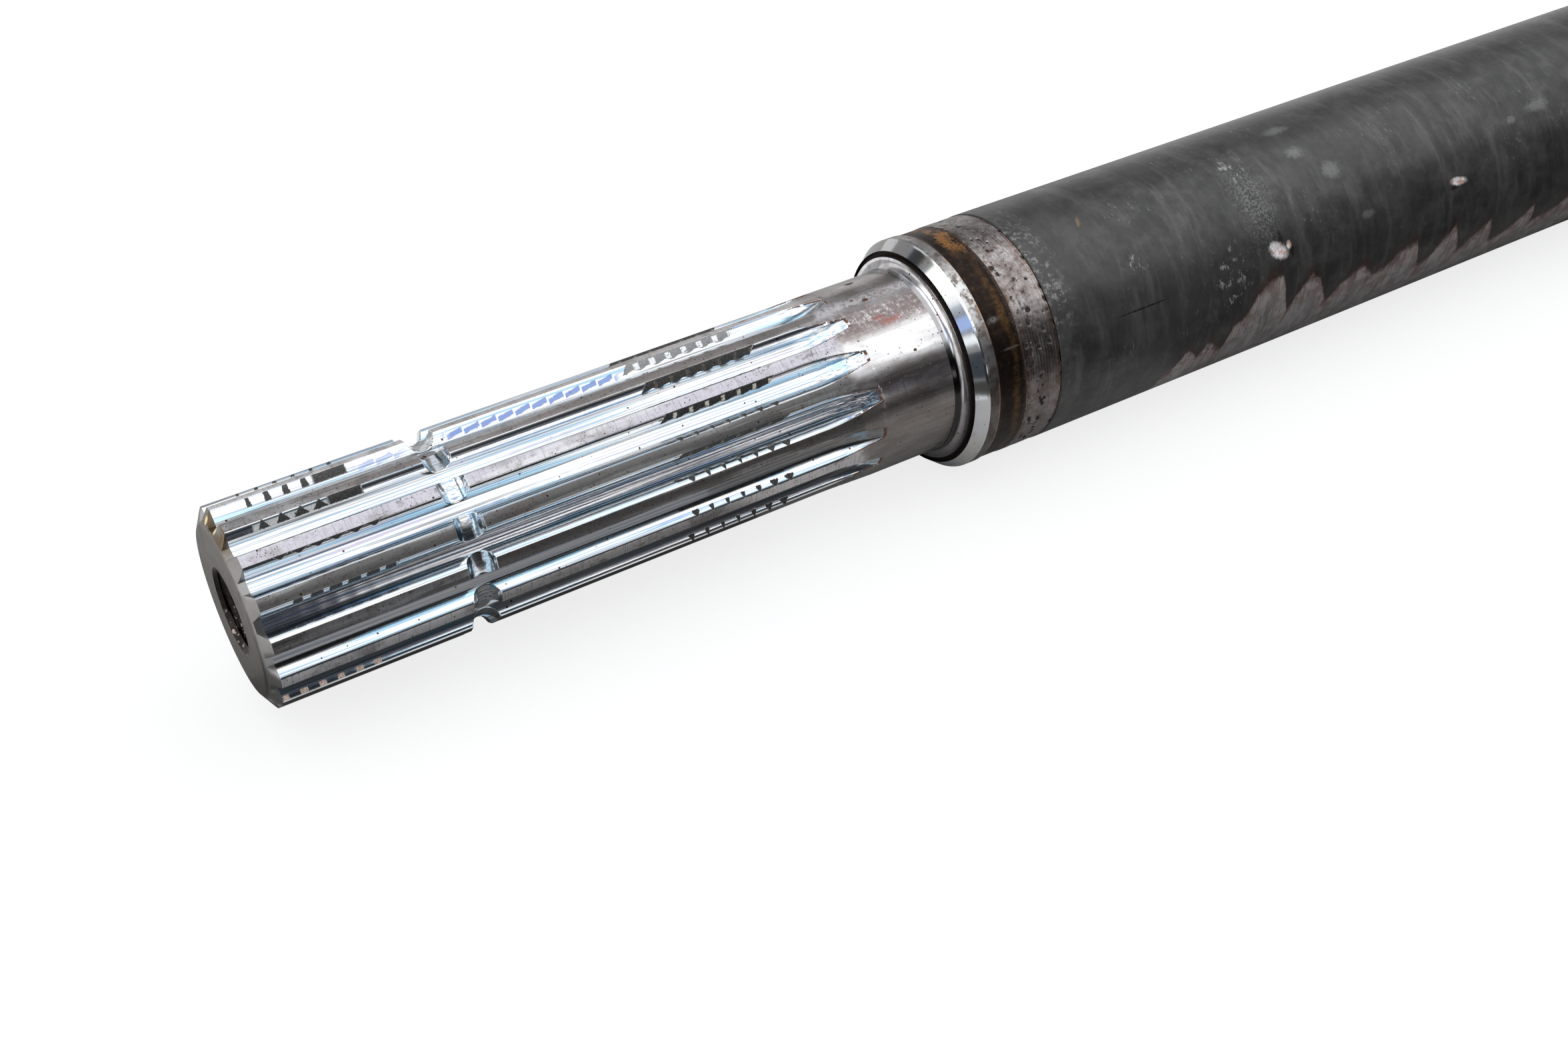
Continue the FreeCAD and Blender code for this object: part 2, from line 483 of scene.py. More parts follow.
class Paint(Nodes):
    """A material built from formulas over its object's coordinates in millimetres."""

    def __init__(self, name, start=0, radius=JOURNAL_R):
        super().__init__(name)
        self.radius = radius
        self.shader = self.node("ShaderNodeBsdfPrincipled")
        place = self.node("ShaderNodeTexCoord").outputs["Object"]
        self.place = self.field("ShaderNodeVectorMath", {0: place, "Scale": 1 / MM}, operation="SCALE")
        split = self.node("ShaderNodeSeparateXYZ", {0: self.place})
        x, self.y, self.z = (Field(self, socket) for socket in split.outputs)
        self.s = x + start if start else x
        self.phi = self.math("MULTIPLY_ADD", self.math("ARCTAN2", self.y * -1, self.z), 180 / math.pi, 90)
        self.r = self.math("SQRT", self.y * self.y + self.z * self.z)

    def larger(self, *values):
        largest = values[0]
        for value in values[1:]:
            largest = self.math("MAXIMUM", largest, value)
        return largest

    def vector(self, x, y, z):
        return self.field("ShaderNodeCombineXYZ", {0: x, 1: y, 2: z})

    def noise(self, scale, detail=2, rough=0.5, place=None, warp=0):
        inputs = {"Scale": scale, "Detail": detail, "Roughness": rough, "Distortion": warp}
        return self.field("ShaderNodeTexNoise", {"Vector": place or self.place, **inputs}, "Fac")

    def grain(self, along, across):
        """Coordinates stretched along or round the shaft, in cycles per millimetre."""
        return self.vector(self.s * along, self.y * across, self.z * across)

    def lengthwise(self, along, across, detail=3, rough=0.6):
        """Noise stretched along the shaft."""
        return self.noise(1, detail, rough, self.grain(along, across))

    def turned(self, along, outward, round_it=0.03, detail=3, rough=0.6):
        """Noise stretched round the shaft, also on faces that stand across it."""
        marks = self.vector(self.s * along + self.r * outward, self.y * round_it, self.z * round_it)
        return self.noise(1, detail, rough, marks)

    def spots(self, scale, size, soft):
        """Scattered round spots: 1 inside, 0 outside."""
        away = self.field("ShaderNodeTexVoronoi", {"Vector": self.place, "Scale": scale}, "Distance")
        return away.step(size + soft, size)

    def patch(self, s, phi, length, width, soft=0.4, ragged=0.5, lean=0):
        """Ragged oval patch, 1 inside; length and width are half its size in millimetres."""
        across = (self.phi - phi) * (math.pi / 180 * self.radius)
        along = self.s - s + across * lean if lean else self.s - s
        across, along = across * (1 / width), along * (1 / length)
        away = self.math("SQRT", across * across + along * along)
        return (away + self.noise(1.1, 3, 0.65).scale(-ragged, ragged)).step(1 + soft, 1 - soft)

    def patches(self, *rows):
        return self.larger(*(self.patch(*row) for row in rows))

    def finish(self, colour, metallic, roughness, height):
        """Sets the shader's main inputs; height is in millimetres."""
        bump = self.node("ShaderNodeBump", {"Distance": MM, "Strength": 1.0, "Height": height}).outputs[0]
        inputs = {"Base Color": colour, "Metallic": metallic, "Roughness": roughness, "Normal": bump}
        return self.show(self.fill(self.shader, inputs))


STEEL = (0.6, 0.595, 0.59)
STEEL_BRIGHT = (0.75, 0.745, 0.74)
STEEL_GRAY = (0.4, 0.395, 0.39)
STEEL_DULL = (0.24, 0.225, 0.215)
STEEL_DARK = (0.09, 0.08, 0.075)
# Painted reflection: blue of the slanted feed dashes.
BLUE_REFLECTION = (0.12, 0.18, 0.38)
# Painted reflection tints of the hobbed steel.
CYAN_REFLECTION = (0.22, 0.36, 0.46)
LILAC_REFLECTION = (0.37, 0.34, 0.43)
# Cream of the painted glint on worn ridges.
CREAM_GLINT = (0.92, 0.80, 0.56)
RUST = (0.22, 0.085, 0.025)
RUST_DARK = (0.05, 0.025, 0.015)
SOOT = (0.016, 0.014, 0.012)

WORN_NEAR = (8.5, 34.0)
WORN_FAR = (106.6, 136.2)
# One value for each tooth space; the spaces repeat every five round the shaft.
PATCH_SHADE = [0.09, 0.035, 0.46, 0.036, 0.020]
# How bright the painted glint on the ridges is, for each tooth space.
RIDGE_GLINT_TONE = [0.30, 0.30, 0.90, 0.22, 0.80]
MARK_WIDTH = [1.45, 0.4, 0.55, 0.15, 2.35]
MARK_GROWTH = [0.1, 0.2, 0.15, 0.95, 0]
MARK_TAPER = [0, 0, 0, 0, 2.5]
NEAR_SHADE = [0.05, 0.035, 0.06, 0.03, 0.02]
MARK_REACH = [1.5, 0.6, 1.8, 1.75, 1.6]
MARK_JOINED = [0, 0, 1, 1, 0]
# Colour of the land before each tooth space in turn.
LAND_TONES = [
    (0.19, 0.185, 0.18), (0.11, 0.1, 0.095), (0.82, 0.77, 0.77), (0.29, 0.245, 0.225), (0.5, 0.48, 0.54),
]


def tooth_angle(p):
    """Angle from the middle of the nearest tooth space, in degrees."""
    turned = (p.phi - (SPLINE_PHASE - TOOTH_ANGLE / 2)) * (1 / TOOTH_ANGLE)
    share = p.math("FRACT", turned + 4)
    return share.scale(-TOOTH_ANGLE / 2, TOOTH_ANGLE / 2)


def counted_by_five(p, first):
    """Place in a run of five tooth spaces, as 0 to 1, counted from an angle."""
    turned = (p.phi - first) * (1 / TOOTH_ANGLE)
    number = p.math("FLOOR", turned + 5)
    return p.math("MODULO", number, 5) * 0.2


def feed_offset(p, shift=0):
    """Distance from the nearest crest between two feed marks of the hob."""
    crests = (p.s - (FULL_DEPTH_END - HOB_FEED / 2 + shift)) * (1 / HOB_FEED)
    return (p.math("FRACT", crests + 50.5) - 0.5) * HOB_FEED


def end_material():
    """Turned end face and chamfer, gray-brown, with two yellowish drops on top."""
    p = Paint("turned_end")
    turning = p.turned(6, 6, detail=2)
    cloud = p.noise(0.22, 3, 0.55)
    on_chamfer = p.s.step(0.1, 0.5)
    colour = cloud.step(0.35, 0.65).mix((0.12, 0.108, 0.098), (0.185, 0.172, 0.163))
    brown = on_chamfer * p.phi.window(58, 106, 10) * cloud.step(0.34, 0.56)
    drops = on_chamfer * p.patches((1.1, 70, 0.5, 0.95, 0.4, 0.3), (1.3, 86, 0.5, 0.8, 0.4, 0.3))
    colour = colour.coated(
        # The face and chamfer are darker towards the bottom.
        (p.z.step(14, -8) * 0.6, (0.095, 0.085, 0.072)),
        (turning.scale(0, 0.35), (0.085, 0.075, 0.065)),
        (on_chamfer * 0.5, STEEL_GRAY),
        (brown, (0.13, 0.095, 0.06)),
        (drops, (0.98, 0.84, 0.42)),
    )
    return p.finish(colour, 1, turning.scale(0.26, 0.44), turning * 0.012)


def cut_steel(p):
    """Hobbed steel: bright, with gray streaks, and cyan, blue and lilac lines of painted reflection along
    the teeth.
    """
    streaks = p.lengthwise(0.012, 1.7)
    hues = p.lengthwise(0.02, 0.5, 2, 0.5)
    colour = streaks.ramp(
        (0.33, STEEL_DULL), (0.41, STEEL), (0.46, STEEL_BRIGHT), (0.62, STEEL_BRIGHT), (0.7, STEEL_GRAY)
    )
    # Painted reflection: lilac, cyan and blue tints along the teeth.
    reflection_tint = hues.ramp((0.36, LILAC_REFLECTION), (0.48, CYAN_REFLECTION), (0.58, (0.17, 0.25, 0.42)), (0.66, CYAN_REFLECTION))
    lines = p.lengthwise(0.015, 2.4, 2, 0.5)
    return (lines.step(0.53, 0.6) * 0.85).mix(colour, reflection_tint)


def land_steel(p, pores):
    """Turned lands: gray, lilac or brown, with pores and scratches; a painted highlight on the near part of
    one land in five, and painted shade on the land at the lower front.
    """
    cloud = p.noise(0.1, 3, 0.55)
    rings = p.turned(3, 0, 0.15, detail=2)
    land = counted_by_five(p, SPLINE_PHASE)
    colour = pores.scale(0, 0.7).mix(land.pick(LAND_TONES), STEEL_DULL)
    # Painted highlight: the near part of one land in five lighter.
    near = p.s.step(62, 40) * land.pick([0, 0, 0.75, 0, 0])
    paler = p.lengthwise(0.02, 0.5, 2, 0.5).step(0.5, 0.6) * 0.45
    hair = p.noise(1, 2, 0.5, p.grain(0.5, 0.12), 1.5)
    hair = hair.window(0.496, 0.504, 0.003) * p.noise(0.16, 2).step(0.52, 0.6)
    smudge = p.noise(0.5, 4, 0.7, p.grain(0.5, 1.2)).step(0.56, 0.68) * 0.6
    holes = p.larger(p.spots(0.55, 0.07, 0.05), p.spots(1.5, 0.13, 0.1) * cloud.step(0.4, 0.6))
    colour = colour.coated(
        (near, (0.86, 0.85, 0.87)),
        (paler, STEEL),
        (rings.step(0.54, 0.7) * 0.5, (0.17, 0.155, 0.155)),
        (cloud.step(0.5, 0.66) * 0.5, (0.17, 0.15, 0.14)),
        (hair * 0.8, STEEL_DARK),
        (smudge, (0.12, 0.1, 0.1)),
        # Painted shade on the land at the lower front, phi 205 to 221.
        (p.phi.window(205, 221, 1) * 0.85, STEEL_DARK),
    )
    return holes.mix(colour, RUST_DARK)


def worn_marks(p, kind, angle, depth):
    """Worn places on the flanks: dark patch, ridge, dark tick, rusty tick and pale cells; the ridges get a
    painted glint and the pale cells are painted highlight.
    """
    upper = angle.step(0.2, -0.2)
    ragged = p.noise(1.3, 3, 0.7).scale(-0.5, 0.5)
    apart = abs(feed_offset(p))
    after_crest = abs(feed_offset(p, 1.3))
    leaning = p.s + depth * 0.9
    far = (leaning + ragged * 0.5).window(WORN_FAR[0] + 0.4, WORN_FAR[1] + 0.8, 0.15)
    scallop = apart.step(0.2, 2) * 0.4
    far_reach = 1.6 + scallop + ragged * 0.7
    far_patch = far * (far_reach - depth).step(-0.05, 0.05)
    near = (p.s + ragged).window(*WORN_NEAR, 0.3)
    growth = p.s.step(7, 17).scale(0.6, 1)
    change = kind.pick(MARK_GROWTH) - kind.pick(MARK_TAPER)
    half = kind.pick(MARK_WIDTH) + change * depth
    wedge = (half * growth + ragged * 0.9 - apart).step(-0.1, 0.1)
    joined = p.s.step(25.5, 26.5) * kind.pick(MARK_JOINED)
    near_reach = (kind.pick(MARK_REACH) - (depth + ragged * 0.6)).step(-0.08, 0.08)
    near_patch = near * near_reach * p.larger(wedge, joined)
    patch = p.larger(far_patch, near_patch) * upper
    # Painted highlight: pale cells between the near patches, in one space of five.
    pale = near * (1 - near_patch) * depth.window(0.5, 1.7, 0.15) * p.s.step(27, 26) * upper
    pale = pale * kind.pick([0, 0, 0, 0.85, 0])
    ridge_half = kind.pick([0.5, 0.5, 0.75, 0.5, 0.5]) + ragged * 0.5
    ridge = (after_crest - ridge_half).step(0.12, -0.12) * depth.window(0.35, 1.75, 0.15) * far
    ridge = ridge * p.noise(1.7, 2, 0.6).step(0.34, 0.44)
    swell = p.s.step(122, 134).scale(0.75, 1.7) + p.s.step(114, 107) * 0.55
    low_half = (0.22 + p.math("MINIMUM", depth, 1) * 0.5 + ragged * 0.5) * swell
    low = 1 - upper
    tick = (low_half - apart).step(-0.05, 0.08) * (depth + ragged).step(1.5, 1.35) * low
    tick = tick * p.s.window(106, 137, 0.5)
    rusty = (after_crest + ragged).step(0.95, 0.7) * depth.window(0.35, 1.25, 0.15) * low
    rusty = rusty * p.s.window(2.6, 28, 0.6) * p.phi.step(188, 190)
    return patch, ridge, tick, rusty, pale


def feed_reflection_dashes(p, kind, angle, depth):
    """Slanted blue marks of painted reflection, one to each turn of the hob, in one space of five."""
    offset = feed_offset(p, 1.3)
    slanted = depth + offset * 0.15
    ragged = p.lengthwise(0.7, 2).scale(-0.35, 0.35)
    dash = (slanted + ragged).window(1.05, 2.15, 0.1)
    dash = dash * abs(offset).step(2.15, 1.9) * angle.step(0.2, -0.2)
    place = p.larger(p.s.window(58, 104, 2), p.s.window(36, 48, 3) * 0.6)
    return dash * place * kind.pick([0, 0, 0.9, 0.12, 0])


def ground_steel(p):
    """Colour, roughness and height of ground steel, with painted highlight and painted shade in bands round
    it.
    """
    rounds = p.turned(4, 0, 0.05)
    lines = p.lengthwise(0.03, 1.6, rough=0.65)
    cloud = p.lengthwise(0.09, 0.25)
    grit = p.noise(0.9, 4, 0.7)
    colour = cloud.step(0.36, 0.62).mix((0.5, 0.465, 0.46), (0.31, 0.275, 0.265))
    # Painted highlight on phi 118 to 138.
    painted_highlight_band = p.phi.window(118, 138, 4)
    # Painted shade on phi 98 to 115, broken up like tarnish.
    tarnish_and_shade = p.phi.window(98, 115, 5) * (grit + rounds * 0.3).step(0.46, 0.7)
    # Painted highlight on phi 87 to 95, broken up like rubbed metal, which is rougher there too.
    rubbed = p.phi.window(87, 95, 3) * (grit + lines * 0.3).step(0.5, 0.72)
    # Painted shade: the lower side, from phi 146 on, darker brown.
    low = p.phi.step(146, 176)
    roughness = p.larger(lines, rubbed * 0.9).scale(0.12, 0.38)
    colour = colour.coated(
        (lines.step(0.52, 0.7) * 0.65, (0.17, 0.15, 0.14)),
        (rounds.step(0.56, 0.68) * 0.5, (0.2, 0.18, 0.165)),
        (painted_highlight_band * cloud.scale(1.2, 0.2), STEEL_BRIGHT),
        (tarnish_and_shade * 0.9, (0.15, 0.118, 0.115)),
        (rubbed * 0.7, (0.8, 0.76, 0.75)),
        (grit.step(0.58, 0.72) * 0.6, (0.15, 0.12, 0.115)),
        (low * 0.75, (0.17, 0.148, 0.132)),
    )
    return colour, roughness, rounds * 0.006 + lines * 0.005


def teeth_material():
    """Hobbed spline: streaked flanks, dull lands, dark worn patches, rust at the run-outs."""
    p = Paint("hobbed_teeth", radius=22.5)
    angle = tooth_angle(p)
    kind = counted_by_five(p, SPLINE_PHASE - TOOTH_ANGLE / 2 + TOOTH_ANGLE)
    side = abs(angle)
    depth = TIP_R - p.r
    rise = (p.s - RAMP_START) * ((SEAT_R - TIP_R) / (JOURNAL_START - RAMP_START))
    below = TIP_R + p.math("MAXIMUM", rise, 0) - p.r
    land = below.step(0.06, 0.035)
    flank = (1 - land) * side.step(3.7, 4.1)
    pores = p.noise(1.6, 4, 0.7)
    fine = p.lengthwise(0.02, 3.2)
    ribs = p.lengthwise(0.01, 1.25, 2, 0.5)
    on_floor = side.step(5.5, 4)
    cut = cut_steel(p)
    dull_floor = on_floor * kind.pick([0, 0.85, 0, 0, 0])
    long_cloud = p.lengthwise(0.018, 0.3, 2, 0.5)
    # Painted reflection: cyan near the tips of the flanks, blue near their roots.
    cyan_tip_reflection = depth.window(0.3, 0.9, 0.3) * long_cloud.step(0.46, 0.56)
    blue_root_reflection = depth.window(1.7, 2.7, 0.4) * long_cloud.step(0.54, 0.44)
    ground, ground_roughness, ground_height = ground_steel(p)
    on_ground = (p.s + p.noise(0.25, 2) * 6).step(158.5, 161.5)
    worn_land = on_ground.mix(land_steel(p, pores), ground)
    cut = cut.coated(
        (dull_floor, ribs.step(0.35, 0.65).mix(STEEL_DARK, (0.13, 0.125, 0.125))),
        (p.larger(cyan_tip_reflection, blue_root_reflection) * 0.6, blue_root_reflection.mix((0.3, 0.46, 0.55), (0.26, 0.52, 0.7))),
        (feed_reflection_dashes(p, kind, angle, depth) * flank, BLUE_REFLECTION),
    )
    colour = land.mix(cut, worn_land)
    patch, ridge, tick, rusty, pale = worn_marks(p, kind, angle, depth)
    patch, tick, rusty = patch * flank, tick * flank, rusty * flank
    grit = p.noise(2.6, 4, 0.75)
    shade = p.s.step(60, 80).mix(kind.pick(NEAR_SHADE), kind.pick(PATCH_SHADE))
    shade = grit.step(0.35, 0.7).mix(
        kind.pick([0.8, 0.8, 0.55, 0.8, 0.8]).mix(shade, SOOT), Field(p, 0.25).mix(shade, STEEL_DULL)
    )
    # Ridges: their shape is wear, their cream and white colour a painted glint.
    ridge_glint_colour = p.noise(1.9, 3, 0.7).step(0.4, 0.6).mix(
        kind.pick(RIDGE_GLINT_TONE), kind.pick([CREAM_GLINT, CREAM_GLINT, (0.95, 0.95, 0.93), CREAM_GLINT, CREAM_GLINT])
    )
    shade = (ridge * kind.pick([0.25, 0.2, 1, 0.12, 1])).mix(shade, ridge_glint_colour)
    specks = p.spots(0.42, 0.09, 0.05) * p.noise(0.3, 2).step(0.5, 0.6)
    spot = p.patches((50.2, 85.5, 0.7, 0.8, 0.3, 0.3), (51.6, 83, 0.4, 0.9, 0.3, 0.3))
    edge = below.window(0.05, 0.32, 0.04) * p.s.step(150, 156)
    edge = edge * p.noise(0.8, 3, 0.6).step(0.38, 0.48)
    roughness = land.blend(fine.scale(0.07, 0.18), pores.scale(0.22, 0.4))
    roughness = (land * on_ground).blend(roughness, ground_roughness)
    marked = p.larger(patch, tick, rusty, edge, pale * flank)
    roughness = marked.blend(roughness, 0.6)
    lined = fine * 0.009 + ribs * on_floor.scale(0, 0.034)
    height = land.blend(lined, pores * 0.02)
    height = (land * on_ground).blend(height, ground_height)
    height = height - patch * grit.scale(0.02, 0.18) - tick * 0.08
    colour = colour.coated(
        # Painted highlight on the pale cells.
        (pale * flank, grit.step(0.35, 0.6).mix((0.86, 0.84, 0.76), (0.5, 0.5, 0.5))),
        (patch, shade),
        (tick, grit.step(0.4, 0.6).mix(SOOT, (0.07, 0.065, 0.065))),
        (rusty, grit.step(0.4, 0.6).mix((0.95, 0.82, 0.72), (0.62, 0.36, 0.22))),
        (specks, RUST_DARK),
        (spot, (0.17, 0.05, 0.025)),
        (edge, (0.13, 0.055, 0.03)),
    )
    return p.finish(colour, marked.scale(1, 0.35), roughness, height)


def journal_material():
    """Ground bearing seat with its stains and rust spots."""
    p = Paint("ground_journal")
    colour, roughness, height = ground_steel(p)
    speckle = p.noise(1.6, 4, 0.7).step(0.42, 0.62)
    stain = p.patches((173.2, 113, 3, 1, 0.5, 0.7), (170.6, 109, 1.8, 0.7, 0.5, 0.6))
    stain = p.larger(stain, p.patch(176, 92, 2.6, 1.3, 0.6, 0.7) * 0.5)
    rust = p.patches((171, 93, 1, 0.6, 0.3, 0.5), (167.8, 89.7, 0.5, 0.35), (172.7, 69.2, 1.3, 0.8))
    specks = p.spots(0.6, 0.09, 0.06) * p.noise(0.2, 2).step(0.42, 0.52)
    rust = p.larger(rust, specks * 0.9, p.patch(175.5, 135, 0.5, 0.35, 0.2, 0.2))
    roughness = rust.blend(roughness, 0.7)
    colour = colour.coated(
        (stain * speckle.scale(0.35, 0.9), (0.24, 0.085, 0.07)),
        (rust, speckle.mix(RUST_DARK, (0.11, 0.035, 0.022))),
    )
    return p.finish(colour, rust.scale(1, 0.3), roughness, height)


def fillet_material():
    """Polished fillet, warm gray, with fine turning lines, a few dark spots, a darker root and painted
    shade on its lower side.
    """
    p = Paint("polished_fillet")
    rounds = p.turned(5, 5, detail=2, rough=0.5)
    cloud = p.noise(0.4, 3)
    colour = cloud.step(0.35, 0.7).mix((0.72, 0.71, 0.72), (0.5, 0.48, 0.49))
    # Painted shade: near-black on the lower side, close to the journal.
    low_side_shade = p.r.step(25.75, 25.35) * p.phi.step(142, 149)
    colour = colour.coated(
        (p.r.step(25.3, 25.08) * 0.8, (0.22, 0.21, 0.21)),
        # Painted shade on the lower side, near-black close to the journal.
        (p.phi.step(144, 156) * 0.7, (0.26, 0.24, 0.235)),
        (low_side_shade, (0.045, 0.042, 0.04)),
        (p.spots(0.4, 0.08, 0.05), RUST_DARK),
    )
    return p.finish(colour, 1, rounds.scale(0.1, 0.2), rounds * 0.004)


def recess_material():
    """Near-black ring behind the fillet, flecked rust-brown."""
    p = Paint("ring_recess")
    crust = p.noise(1.4, 4, 0.7)
    colour = crust.ramp(
        (0.3, (0.006, 0.005, 0.005)), (0.56, (0.014, 0.009, 0.007)), (0.74, (0.08, 0.04, 0.02))
    )
    return p.finish(colour, 0.5, crust.scale(0.6, 0.85), crust * 0.1)


def rim_material():
    """Polished rim chamfer, with faint turning lines, faint clouds and a few nicks."""
    p = Paint("rim_chamfer")
    rounds = p.turned(4, 4, detail=2, rough=0.5)
    cloud = p.noise(0.1, 2)
    colour = cloud.ramp((0.36, (0.56, 0.57, 0.6)), (0.5, (0.6, 0.595, 0.59)), (0.62, (0.62, 0.6, 0.56)))
    smudge = p.noise(0.5, 4, 0.7).step(0.56, 0.72) * 0.45
    colour = colour.coated((smudge, STEEL_GRAY), (p.spots(0.6, 0.08, 0.05) * 0.8, STEEL_DARK))
    return p.finish(colour, 1, rounds.scale(0.08, 0.16), rounds * 0.003)


def land_material():
    """Dull turned land behind the rim, coppery along its far edge, with a painted highlight near the top
    and painted shade on the lower side.
    """
    p = Paint("turned_land")
    rounds = p.turned(5, 0)
    cloud = p.noise(0.3, 4, 0.65)
    colour = cloud.step(0.35, 0.65).mix((0.42, 0.4, 0.39), (0.15, 0.125, 0.11))
    # Painted highlight on phi 106 to 128, broken up like wear.
    worn = p.phi.window(106, 128, 8) * cloud.step(0.62, 0.46)
    pits = p.spots(0.7, 0.1, 0.08) * cloud.step(0.45, 0.55)
    coppery = p.s.step(192.6, 192.9) * p.noise(0.7, 3, 0.7).step(0.4, 0.55)
    colour = colour.coated(
        (rounds.step(0.5, 0.66) * 0.4, (0.14, 0.12, 0.11)),
        (worn * 0.8, STEEL),
        # Painted shade on the lower side.
        (p.phi.step(150, 170) * 0.75, (0.06, 0.048, 0.04)),
        (pits, SOOT),
        (coppery * 0.75, (0.36, 0.2, 0.13)),
    )
    return p.finish(colour, 1, rounds.scale(0.26, 0.4), rounds * 0.01)


def band_material():
    """Heat-tinted band: black-brown, then a rusty stripe, orange near the top."""
    p = Paint("heat_band", radius=BAND_R)
    rounds = p.turned(2.2, 0, 0.05, rough=0.65)
    crust = p.noise(0.5, 4, 0.7)
    fine = p.noise(2.2, 3, 0.7)
    colour = crust.ramp(
        (0.32, (0.007, 0.004, 0.003)), (0.52, (0.016, 0.009, 0.006)), (0.7, (0.04, 0.024, 0.016))
    )
    place = p.s + p.noise(0.12, 2).scale(-1.8, 1.8)
    stripe = place.window(198.2, 199.9, 0.6) * (fine + crust * 0.4).step(0.52, 0.8)
    stripe = stripe * p.phi.step(108, 132).scale(0.25, 0.85)
    orange = p.phi.window(60, 95, 8) * place.window(195.8, 202.2, 1)
    orange = orange * (p.noise(0.28, 4, 0.7) + (rounds - 0.5) * 0.5).step(0.45, 0.56)
    gray = p.s.step(200.4, 201.3) * fine.step(0.42, 0.62)
    marks = p.patches((195.9, 135.5, 1.5, 0.7, 0.8, 1.2), (198.6, 150.4, 2.4, 0.32, 0.5, 0.6))
    marks = marks * (fine + rounds * 0.3).step(0.46, 0.7)
    scorch = p.patch(197.6, 158.5, 3.4, 0.5, 0.6, 0.8)
    height = crust * 0.03 + rounds * 0.02
    colour = colour.coated(
        (stripe, crust.mix((0.036, 0.02, 0.01), (0.15, 0.075, 0.024))),
        (orange * 0.9, fine.step(0.35, 0.7).mix((0.08, 0.032, 0.008), (0.44, 0.18, 0.026))),
        (gray * 0.5, (0.13, 0.105, 0.09)),
        (marks * 0.65, (0.2, 0.185, 0.175)),
        (scorch * 0.7, (0.006, 0.005, 0.005)),
    )
    return p.finish(colour, orange.scale(0.85, 0.3), fine.scale(0.34, 0.56), height)


def weld_material():
    """Weld turned flush: mottled gray-brown, black in its pits, a seam with orange specks."""
    p = Paint("weld_turned")
    rounds = p.turned(2.5, 0, 0.08, rough=0.65)
    cloud = p.noise(0.3, 4, 0.7)
    blotch = p.noise(0.75, 4, 0.7)
    fine = p.noise(2.4, 3, 0.7)
    colour = cloud.ramp((0.34, (0.14, 0.112, 0.1)), (0.47, (0.235, 0.21, 0.2)), (0.6, (0.35, 0.325, 0.32)))
    black = p.noise(0.55, 4, 0.75).step(0.56, 0.64) * p.s.window(202.2, 207.5, 1)
    low = p.r.step(31.5, 31.38)
    near = p.s.step(WELD_START + 2, WELD_START) * cloud.step(0.66, 0.46)
    brown = p.s.step(WELD_END - 2.2, WELD_END - 0.5) * blotch.step(0.4, 0.55)
    seam = p.s.step(WELD_END - 0.42, WELD_END - 0.2)
    rough = p.larger(low * 0.9, black * 0.8, seam)
    height = rounds * 0.02 + fine * 0.014
    colour = colour.coated(
        (rounds.step(0.52, 0.68) * 0.6, (0.13, 0.1, 0.085)),
        (blotch.step(0.52, 0.66) * 0.75, (0.105, 0.065, 0.055)),
        (fine.step(0.62, 0.72) * 0.45, (0.5, 0.44, 0.42)),
        # Painted shade on the lower side, from phi 124 on.
        (p.phi.step(124, 150) * 0.45, (0.13, 0.1, 0.088)),
        (black * 0.85, (0.018, 0.013, 0.01)),
        (low * 0.9, (0.014, 0.008, 0.006)),
        (near * 0.8, (0.085, 0.045, 0.028)),
        (brown * 0.6, (0.15, 0.075, 0.05)),
        (seam, fine.step(0.58, 0.68).mix(SOOT, RUST)),
    )
    return p.finish(colour, rough.scale(1, 0.5), rough.blend(fine.scale(0.26, 0.44), 0.75), height)


def thread_material():
    """Tapped hole painted near-black as shade inside, with a few brownish glints near its mouth."""
    p = Paint("tapped_thread")
    shade_mottle = p.noise(0.5, 3, 0.6)
    # Painted shade: the whole hole near-black.
    colour = shade_mottle.step(0.4, 0.65).mix((0.01, 0.008, 0.007), (0.028, 0.023, 0.02))
    glints = p.z.step(-3, -7) * p.s.step(12, 3) * p.noise(0.6, 3, 0.7).step(0.55, 0.66)
    colour = glints.mix(colour, (0.34, 0.27, 0.24))
    return p.finish(colour, 0.9, shade_mottle.scale(0.25, 0.5), p.noise(2) * 0.02)


# Border between mill scale and scraped metal: places along the shaft and round it.
SAWTOOTH = [
    (250, 204), (253.7, 200), (257.2, 188.6), (261.7, 198.4), (264.2, 189.3), (270.5, 199),
    (272.5, 185.3), (276.1, 182.6), (280.1, 172), (285.2, 166.5), (289.6, 166), (291, 180),
    (292.4, 188.6), (295.1, 179.9), (300.1, 171.8), (303.6, 177), (308, 193.7), (312.6, 184.4),
    (320.1, 178.1), (325, 187.9), (329.9, 185.1), (334.3, 179.3), (341.1, 176.7), (344, 194.9),
    (348.1, 191.8), (351.6, 183), (356.6, 176.2), (360.7, 195.8), (364.5, 189.4), (371.8, 181.3),
    (375.1, 199.2), (381.3, 195), (390.4, 183), (391.6, 195.6), (400.9, 192), (406, 186.6),
    (412, 198), (420, 202),
]


def border_curve(p, value, points, low, high):
    """A value between low and high that follows the points as another value runs along them."""
    first, last = points[0][0], points[-1][0]
    curve = p.node("ShaderNodeFloatCurve", {"Value": (value - first) * (1 / (last - first))})
    line = curve.mapping.curves[0]
    places = [((x - first) / (last - first), (y - low) / (high - low)) for x, y in points]
    for place in places[1:-1]:
        line.points.new(*place)
    line.points[0].location, line.points[-1].location = places[0], places[-1]
    for point in line.points:
        point.handle_type = "VECTOR"
    curve.mapping.update()
    return Field(p, curve.outputs[0]).scale(low, high)


